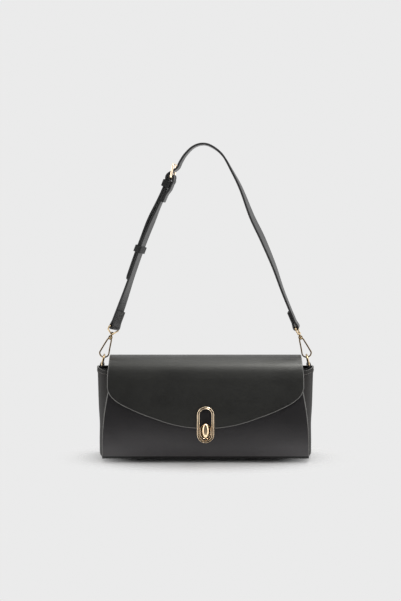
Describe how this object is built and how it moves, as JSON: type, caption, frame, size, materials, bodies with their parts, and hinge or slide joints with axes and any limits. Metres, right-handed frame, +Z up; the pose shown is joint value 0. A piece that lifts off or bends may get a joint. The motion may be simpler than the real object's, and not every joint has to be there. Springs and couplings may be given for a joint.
{
  "type": "shoulder bag",
  "caption": "Structured black leather shoulder bag with a curved flap, an oval turn lock and an adjustable strap on swivel snap hooks.",
  "frame": {"origin": "on the floor, midway between the gussets and midway between the front and back edges of the base", "axes": "-Y towards the front with the flap and lock, +Z up"},
  "size_m": [0.2742, 0.0802, 0.3918],
  "materials": {
    "black_leather": "smooth, semi-matt",
    "black_lining": "matt",
    "pale_gold": "polished",
    "plain_steel": "plain",
    "stiffener_board": "matt"
  },
  "bodies": {
    "bag": {"front_panel": "black_leather", "back_panel": "black_leather", "base_panel": "black_leather", "gusset_left": "black_leather", "gusset_right": "black_leather", "lining": "black_lining", "inner_pocket": "black_lining", "base_stiffener": "stiffener_board", "flap_tail": "black_leather", "flap_tail_lining": "black_lining", "chape_left": "black_leather", "chape_right": "black_leather", "lock_base_plate": "pale_gold", "lock_washer": "plain_steel"},
    "flap_top": {"flap_top_panel": "black_leather", "flap_top_lining": "black_lining"},
    "flap_front": {"flap_front_panel": "black_leather", "flap_front_lining": "black_lining", "lock_ring": "pale_gold", "lock_ring_backing": "plain_steel"},
    "turn_knob_body": {"turn_knob": "pale_gold"},
    "d_ring_left_body": {"d_ring_left": "pale_gold"},
    "d_ring_right_body": {"d_ring_right": "pale_gold"},
    "strap": {"strap_long": "black_leather", "strap_short": "black_leather", "buckle_frame": "pale_gold", "keeper_fixed": "black_leather", "bail_left": "pale_gold", "bail_right": "pale_gold"},
    "keeper": {"keeper_sliding": "black_leather"},
    "prong": {"buckle_prong": "pale_gold"},
    "hook_left": {"hook_body_left": "pale_gold", "hook_rivet_left": "pale_gold"},
    "hook_right": {"hook_body_right": "pale_gold", "hook_rivet_right": "pale_gold"},
    "gate_left": {"hook_gate_left": "pale_gold"},
    "gate_right": {"hook_gate_right": "pale_gold"}
  },
  "joints": [
    {"name": "flap_open", "type": "hinge", "parent": "bag", "child": "flap_top", "pos_m": [0, 0.00901, 0.1252], "axis": [-1, 0, 0], "range_deg": [0, 80]},
    {"name": "flap_unbend", "type": "hinge", "parent": "flap_top", "child": "flap_front", "pos_m": [0, -0.0228, 0.1124], "axis": [-1, 0, 0], "range_deg": [0, 72]},
    {"name": "lock_turn", "type": "hinge", "parent": "bag", "child": "turn_knob_body", "pos_m": [0, -0.036, 0.03862], "axis": [0, 1, 0], "range_deg": [0, 90]},
    {"name": "d_ring_left_rock", "type": "hinge", "parent": "bag", "child": "d_ring_left_body", "pos_m": [-0.1306, 0.013, 0.112], "axis": [0, 1, 0], "range_deg": [-3, 3]},
    {"name": "d_ring_right_rock", "type": "hinge", "parent": "bag", "child": "d_ring_right_body", "pos_m": [0.1306, 0.013, 0.112], "axis": [0, 1, 0], "range_deg": [-3, 3]},
    {"name": "strap_swing", "type": "hinge", "parent": "bag", "child": "strap", "pos_m": [0, 0.013, 0.12115], "axis": [-1, 0, 0], "range_deg": [-45, 55]},
    {"name": "keeper_slide", "type": "slide", "parent": "strap", "child": "keeper", "axis": [0.3626, 0, 0.9319], "range_m": [-0.012, 0.024]},
    {"name": "prong_lift", "type": "hinge", "parent": "strap", "child": "prong", "pos_m": [-0.04134, 0.013, 0.34806], "axis": [-0.2255, -0.9703, 0.0877], "range_deg": [0, 9]},
    {"name": "hook_left_swivel", "type": "hinge", "parent": "strap", "child": "hook_left", "pos_m": [-0.11993, 0.012, 0.14653], "axis": [0.373, 0, 0.9278], "range_deg": [-12, 12]},
    {"name": "hook_right_swivel", "type": "hinge", "parent": "strap", "child": "hook_right", "pos_m": [0.11993, 0.012, 0.14653], "axis": [-0.373, 0, 0.9278], "range_deg": [-12, 12]},
    {"name": "gate_left_open", "type": "hinge", "parent": "hook_left", "child": "gate_left", "pos_m": [-0.11993, 0.013, 0.14653], "axis": [0, 1, 0], "range_deg": [0, 24], "stiffness_Nm_per_rad": 0.02, "springref_deg": -11.46},
    {"name": "gate_right_open", "type": "hinge", "parent": "hook_right", "child": "gate_right", "pos_m": [0.11993, 0.013, 0.14653], "axis": [0, -1, 0], "range_deg": [0, 24], "stiffness_Nm_per_rad": 0.02, "springref_deg": -11.46}
  ],
  "couplings": [
    {"joint": "flap_unbend", "follows": "flap_open", "ratio": 0.9}
  ]
}
